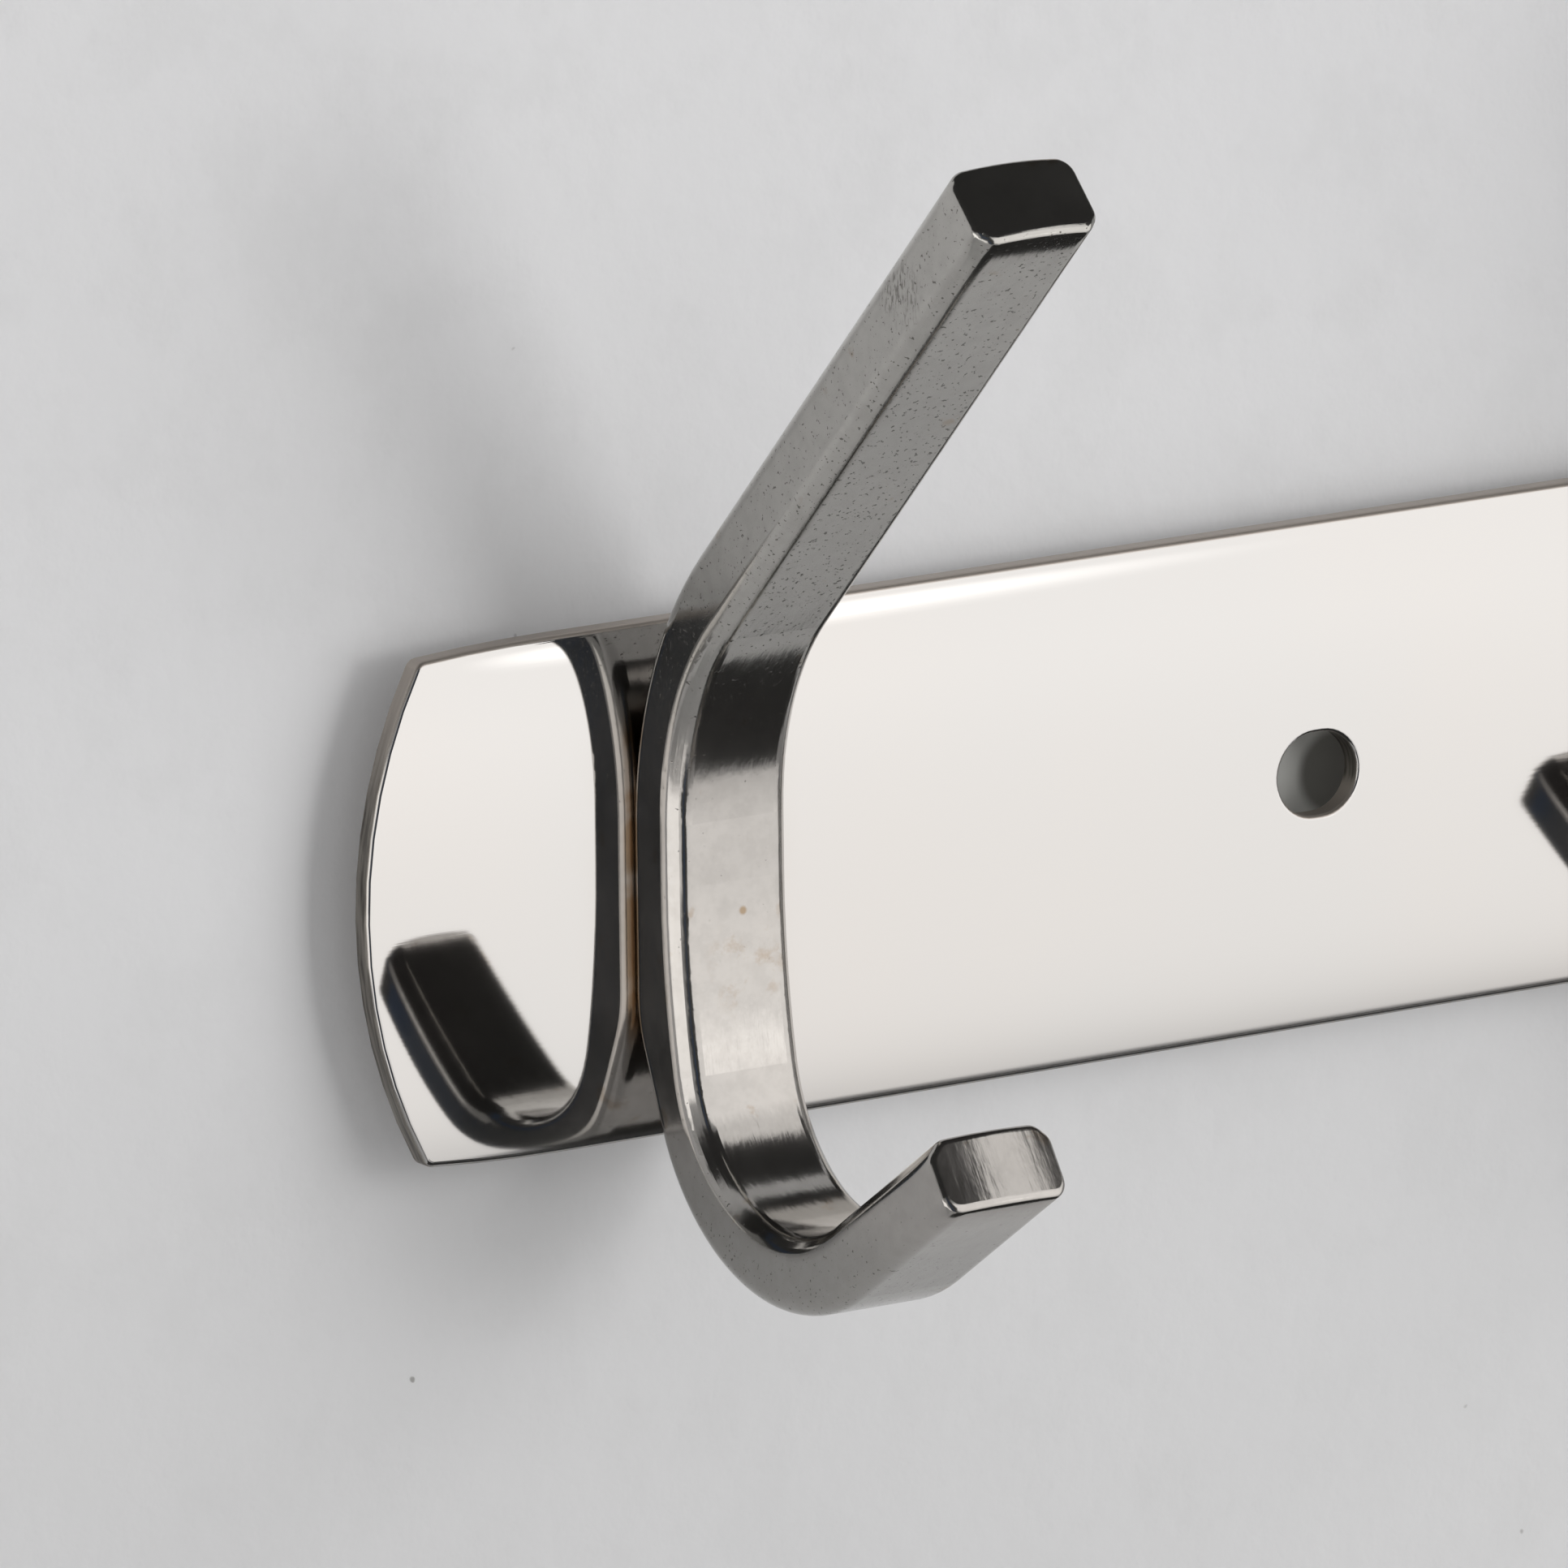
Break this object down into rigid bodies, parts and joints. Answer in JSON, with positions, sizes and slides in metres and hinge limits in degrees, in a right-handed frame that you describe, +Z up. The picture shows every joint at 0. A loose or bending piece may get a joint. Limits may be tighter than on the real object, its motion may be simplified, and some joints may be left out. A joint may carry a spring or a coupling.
{
  "type": "hook rail",
  "caption": "Flat polished steel wall rail with convex ends, carrying a row of cast double hooks for towels and clothes.",
  "frame": {"origin": "middle of the strip's back face, where it meets the wall", "axes": "+X along the strip, +Y into the wall, +Z up"},
  "size_m": [0.2958, 0.0381, 0.0685],
  "materials": {
    "strip": "mirror-polished stainless steel sheet",
    "hook": "polished stainless steel casting with fine pits",
    "screw": "plain stainless steel screws"
  },
  "bodies": {
    "root": {"back_plate": "strip", "hook_1": "hook", "hook_2": "hook", "hook_3": "hook", "hook_4": "hook", "hook_screws": "screw"}
  },
  "joints": []
}
